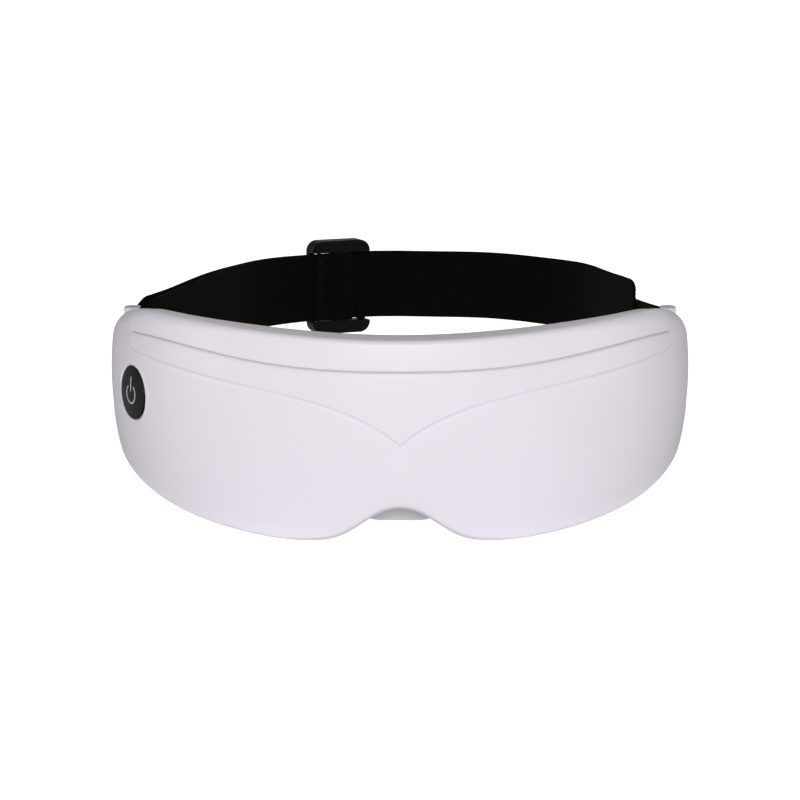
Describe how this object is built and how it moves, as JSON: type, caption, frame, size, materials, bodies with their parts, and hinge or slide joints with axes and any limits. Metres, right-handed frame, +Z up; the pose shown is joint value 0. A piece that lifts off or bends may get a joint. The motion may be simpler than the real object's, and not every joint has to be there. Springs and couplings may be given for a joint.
{
  "type": "eye massager mask",
  "caption": "Curved eye massager mask with a glossy two-part shell, padded face side, eye pads, power button and an elastic head strap with a slider buckle.",
  "frame": {"origin": "centre of the bounding box in X and Y, at the lowest point of the two lower lobes", "axes": "+Z up, -Y out of the glossy front face, +Y towards the back of the strap, X across the mask"},
  "size_m": [0.195, 0.2, 0.0763],
  "materials": {
    "shell": "high-gloss white moulded shell with a faint lilac tone",
    "trim": "soft grey nose flap",
    "cushion": "black padded face cushion, fine knit over foam",
    "silicone": "dark soft silicone",
    "film": "amber heating film",
    "steel": "plain steel",
    "weight": "dense sintered metal",
    "board": "green circuit board",
    "chips": "black moulded chip packages",
    "battery": "pale foil pouch",
    "foam": "grey foam tape",
    "wire": "red insulation",
    "button": "smooth black button cap",
    "icon": "pale light guide",
    "webbing": "black elastic webbing with fine ribs",
    "buckle": "black moulded slider"
  },
  "bodies": {
    "root": {"front_cover": "shell", "rear_housing": "shell", "housing_screws": "steel", "nose_flap": "trim", "face_cushion": "cushion", "eye_pad_left": "silicone", "eye_pad_right": "silicone", "massage_magnets_left": "steel", "massage_magnets_right": "steel", "heating_film_left": "film", "heating_film_right": "film", "motor_left": "steel", "motor_right": "steel", "motor_sleeve_left": "silicone", "motor_sleeve_right": "silicone", "battery_cell": "battery", "battery_pad": "foam", "circuit_board": "board", "board_chips": "chips", "buzzer": "chips", "usb_socket": "steel", "button_dome": "silicone", "tact_switch": "chips", "switch_board": "board", "wire_leads": "wire", "strap_anchor_left": "shell", "strap_anchor_right": "shell", "strap_pin_left": "steel", "strap_pin_right": "steel", "strap_band": "webbing", "strap_return": "webbing", "strap_tab": "webbing"},
    "button": {"power_button": "button", "power_icon": "icon"},
    "rotor_left": {"motor_shaft_left": "steel", "eccentric_weight_left": "weight"},
    "rotor_right": {"motor_shaft_right": "steel", "eccentric_weight_right": "weight"},
    "slider": {"slider_buckle": "buckle"}
  },
  "joints": [
    {"name": "button_press", "type": "slide", "parent": "root", "child": "button", "axis": [0.8694, 0.4941, 0], "range_m": [0, 0.0005], "stiffness_N_per_m": 2000, "springref_m": -0.0003},
    {"name": "motor_spin_left", "type": "hinge", "parent": "root", "child": "rotor_left", "pos_m": [-0.04286, -0.08516, 0.044], "axis": [0, 0, 1], "continuous": true},
    {"name": "motor_spin_right", "type": "hinge", "parent": "root", "child": "rotor_right", "pos_m": [0.04286, -0.08516, 0.044], "axis": [0, 0, 1], "continuous": true},
    {"name": "slider_travel", "type": "hinge", "parent": "root", "child": "slider", "pos_m": [0.0045, 0.03, 0.06], "axis": [0, 0, 1], "range_deg": [-78, 28]}
  ]
}
